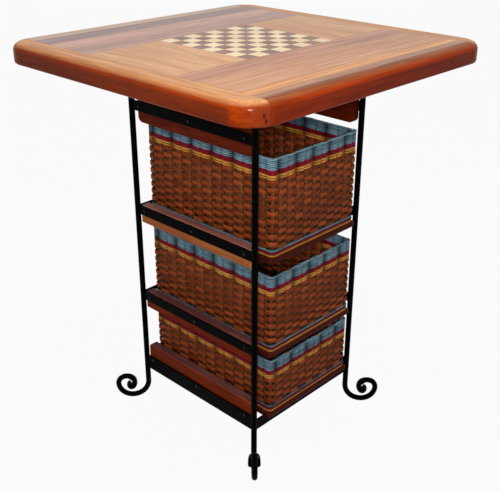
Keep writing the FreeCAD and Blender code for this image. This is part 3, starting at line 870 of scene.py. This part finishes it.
    @staticmethod
    def against_wall(place: Vector, out: Vector, size: tuple[float, float, float]) -> Matrix:
        """Set a shape of unit size against the wall.

        Args:
            place: the shape's middle.
            out: the way outwards there.
            size: its size along the wall, outwards and upwards.

        Returns:
            The matrix that turns, sizes and places it.
        """
        turn = Matrix((Vector((-out.y, out.x, 0)), out, Vector((0, 0, 1)))).transposed()
        return Matrix.Translation(place) @ (turn @ Matrix.Diagonal(size)).to_4x4()

    def stake_ends(self, shape: bmesh.types.BMesh) -> None:
        """Lay a flat oval along the rim at every fourth stake, for its end folded down."""
        level = Vector((0, 0, self.high.z - self.folded_sink))
        for stake in range(1, self.stakes, self.folded_every):
            place, out = self.track[stake * self.steps]
            spot = self.against_wall(place + level, out, self.folded_end)
            made = bmesh.ops.create_icosphere(shape, subdivisions=2, radius=1.0, matrix=spot)["verts"]
            self.mark(shape, made, self.folded_crown, 0.5)

    def stake_strips(self, shape: bmesh.types.BMesh, top: float) -> None:
        """Stand the flat upright stakes in the wall, narrow ones in its corners.

        Args:
            shape: mesh that takes the stakes.
            top: height that they reach.
        """
        tall = top - self.low.z - self.stake_drop
        level = Vector((0, 0, self.low.z + tall / 2))
        for stake in range(self.stakes):
            place, out = self.track[stake * self.steps]
            before, _ = self.track[(stake * self.steps - self.steps) % (len(self.track) - 1)]
            cornered = max(abs(out.x), abs(out.y)) < 0.999
            wide = self.outline.radius if cornered else self.stake_share * (place - before).length
            spot = self.against_wall(place + level, out, (wide, 2 * self.stake_half, tall))
            tone = self.draws.random()
            made = bmesh.ops.create_cube(shape, size=1.0, matrix=spot)["verts"]
            self.mark(shape, made, self.flat_crown, tone)

    def base_mat(self) -> bmesh.types.BMesh:
        """Weave the flat base from rows that cross over and under long slats.

        Returns:
            The base's shape.
        """
        low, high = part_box(f"{self.shelf}_basket_base")
        shape = self.new_shape()
        proud, toned = shape.verts.layers.float["crown"], shape.verts.layers.float["tone"]
        slats, half = self.base_slats, (high.z - low.z) / 2
        middle = (low + high) / 2
        reach_x = (high.x - low.x) / 2 + self.base_lap
        reach_y = (high.y - low.y) / 2 + self.base_lap
        radius = self.corner - self.wall + self.base_lap
        rows = round(2 * reach_y / self.brown_row)
        pitch = 2 * reach_y / rows
        for row in range(rows):
            y = -reach_y + (row + 0.5) * pitch
            past = max(0.0, abs(y) - (reach_y - radius))
            width = reach_x - radius + math.sqrt(max(0.0, radius ** 2 - past ** 2))
            tone = self.draws.random()
            made = bmesh.ops.create_grid(shape, x_segments=slats * 5, y_segments=6, size=0.5)["verts"]
            for vert in made:
                x, angle = 2 * vert.co.x * width, (vert.co.y + 0.5) * math.tau
                swing = math.cos(math.pi * (x / reach_x * slats / 2 + row))
                rim = 0.0 if abs(vert.co.x) > 0.499 else 1.0
                across = rim * self.base_overlap * pitch * math.cos(angle)
                up = self.base_swing * swing + (1 - self.base_swing) * rim * math.sin(angle)
                vert.co = middle + Vector((x, y + across, half * up))
                vert[proud] = abs(swing * math.sin(angle))
                vert[toned] = tone
            bmesh.ops.remove_doubles(shape, verts=made, dist=self.merge)
        slat = 2 * reach_x / slats
        for number in range(slats):
            spot = Matrix.Translation(middle + Vector((-reach_x + (number + 0.5) * slat, 0, 0)))
            sized = Matrix.Diagonal((self.slat_share * slat, 2 * reach_y, self.slat_thickness, 1.0))
            made = bmesh.ops.create_cube(shape, size=1.0, matrix=spot @ sized)["verts"]
            self.mark(shape, made, self.flat_crown, 0.5)
        return shape

    def build(self) -> None:
        """Weave the basket's five pieces."""
        body = f"{self.shelf}_basket"
        shapes = {colour: self.new_shape() for colour in ("brown", "blue", "red", "gold")}
        for band in self.bands():
            weave = self.brown_row_ring if band.colour == "brown" else self.band_row_ring
            for row in range(band.rows):
                weave(shapes[band.colour], band, row)
        for place, colour in enumerate(("gold", "red", "blue")):
            self.foot_ring(shapes[colour], place)
        self.rim_ring(shapes["blue"])
        self.stake_strips(shapes["brown"], self.high.z - sum(height for _, height, _ in self.rim_bands))
        self.stake_ends(shapes["brown"])
        for colour, shape in shapes.items():
            node = f"{body}_wall" if colour == "brown" else f"{body}_{colour}_reed"
            new_piece(f"{body}_{colour}_weave", shape, body, self.finishes[colour], node)
        new_piece(f"{body}_base_weave", self.base_mat(), body, self.finishes["brown"],
                  f"{body}_base")


def reed_finishes() -> dict[str, bpy.types.Material]:
    """Make the finishes of the four reeds."""
    reeds = {
        # Each reed's last colour is painted shade for its dips and strand edges; on the brown it is also the
        # flat stakes' own olive brown
        "brown": Reed("Brown stained reed", "#9A441E", "#602408", "#52301A"),
        "blue": Reed("Blue grey dyed reed", "#86A8B6", "#4A6674", "#16222A"),
        "red": Reed("Crimson dyed reed", "#98182E", "#760E1E", "#2C040A"),
        "gold": Reed("Gold dyed reed", "#DCA04A", "#BC7A30", "#5A300C"),
    }
    return {colour: reed.material() for colour, reed in reeds.items()}


@dataclass(frozen=True)
class Lamp:
    """One soft square lamp, with its size in metres and its spread in degrees."""

    name: str
    place: tuple[float, float, float]
    aim: tuple[float, float, float]
    size: float
    watts: float
    spread: float = 180.0

    def hang(self) -> None:
        """Hang the lamp so that it faces its aim."""
        data = bpy.data.lights.new(self.name, "AREA")
        data.shape, data.size, data.energy = "SQUARE", self.size, self.watts
        data.spread = math.radians(self.spread)
        lamp = bpy.data.objects.new(self.name, data)
        lamp.location = self.place
        lamp.rotation_euler = (Vector(self.aim) - Vector(self.place)).to_track_quat("-Z", "Y").to_euler()
        bpy.context.scene.collection.objects.link(lamp)


@dataclass
class Studio:
    """Pale floor, soft lamps and the camera."""

    camera_place: tuple[float, float, float] = (-1.47023, -1.42769, 1.48986)
    azimuth: float = -46.12
    elevation: float = 25.358
    roll: float = 0.1185
    lens_mm: float = 58.214
    sensor_mm: float = 36.0
    floor_half: float = 9.0
    floor_colour: str = "#949494"
    floor_white: float = 0.95
    sky_light: float = 0.25
    lamps: tuple[Lamp, ...] = (
        Lamp("key lamp", (-1.8, -1.75, 1.75), (0, 0, 0.95), 0.5, 9, spread=70.0),
        Lamp("top lamp", (-0.4, -0.5, 3.1), (0, 0, 1.0), 1.6, 28),
    )

    def camera(self) -> None:
        """Set the camera where the picture was taken from."""
        az, el = math.radians(self.azimuth), math.radians(self.elevation)
        back = Vector((math.sin(az) * math.cos(el), -math.cos(az) * math.cos(el), math.sin(el)))
        right = (-back).cross(Vector((0, 0, 1))).normalized()
        turn = Matrix((right, back.cross(right), back)).transposed()
        turn = turn @ Matrix.Rotation(math.radians(self.roll), 3, "Z")
        data = bpy.data.cameras.new("camera")
        data.lens, data.sensor_width, data.sensor_fit = self.lens_mm, self.sensor_mm, "HORIZONTAL"
        camera = bpy.data.objects.new("camera", data)
        camera.matrix_world = Matrix.Translation(self.camera_place) @ turn.to_4x4()
        bpy.context.scene.collection.objects.link(camera)
        bpy.context.scene.camera = camera

    def floor(self) -> None:
        """Lay a wide pale floor that keeps the table's shadow."""
        shape = bmesh.new()
        bmesh.ops.create_grid(shape, x_segments=1, y_segments=1, size=self.floor_half)
        mesh = bpy.data.meshes.new("floor")
        shape.to_mesh(mesh)
        shape.free()
        material, tree, shader = new_material("White studio floor")
        shader.inputs["Base Color"].default_value = linear(self.floor_colour)
        shader.inputs["Roughness"].default_value = 0.9
        share = add(tree, "Math", {0: looking_rays(tree), 1: self.floor_white}, operation="MULTIPLY")
        white = add(tree, "Emission", {"Color": WHITE, "Strength": 1.0})
        mixed = add(tree, "MixShader", {0: share.outputs[0], 1: shader.outputs[0], 2: white.outputs[0]})
        tree.links.new(mixed.outputs[0], tree.nodes["Material Output"].inputs["Surface"])
        mesh.materials.append(material)
        floor = bpy.data.objects.new("floor", mesh)
        bpy.context.scene.collection.objects.link(floor)
        floor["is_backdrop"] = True

    def sky(self) -> None:
        """Make the surroundings white to look at and mild as light."""
        world = bpy.data.worlds.new("studio")
        world.use_nodes = True
        tree = world.node_tree
        power = add(tree, "MapRange", {"Value": looking_rays(tree), "To Min": self.sky_light})
        back = tree.nodes["Background"]
        back.inputs["Color"].default_value = WHITE
        tree.links.new(power.outputs[0], back.inputs["Strength"])
        bpy.context.scene.world = world

    def build(self) -> None:
        """Set up the floor, the light and the camera."""
        self.camera()
        self.floor()
        self.sky()
        for lamp in self.lamps:
            lamp.hang()
        bpy.context.scene.view_settings.view_transform = "Standard"


def write_sizes() -> None:
    """Gather the CAD model's box and the dressed model's box as plain numbers."""
    boxes = {"cad": CAD_BOX, "visual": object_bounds()}
    plain = {name: [[float(value) for value in corner] for corner in box] for name, box in boxes.items()}


def main() -> None:
    """Build every sub-assembly in order."""
    logging.basicConfig(level=logging.INFO, format="%(message)s")
    TableTop().build()
    IronStand().build()
    Shelving().build()
    finishes = reed_finishes()
    for shelf in SHELVES:
        ReedBasket(shelf, finishes).build()
    Studio().build()
    write_sizes()


if __name__ == "__main__":
    main()
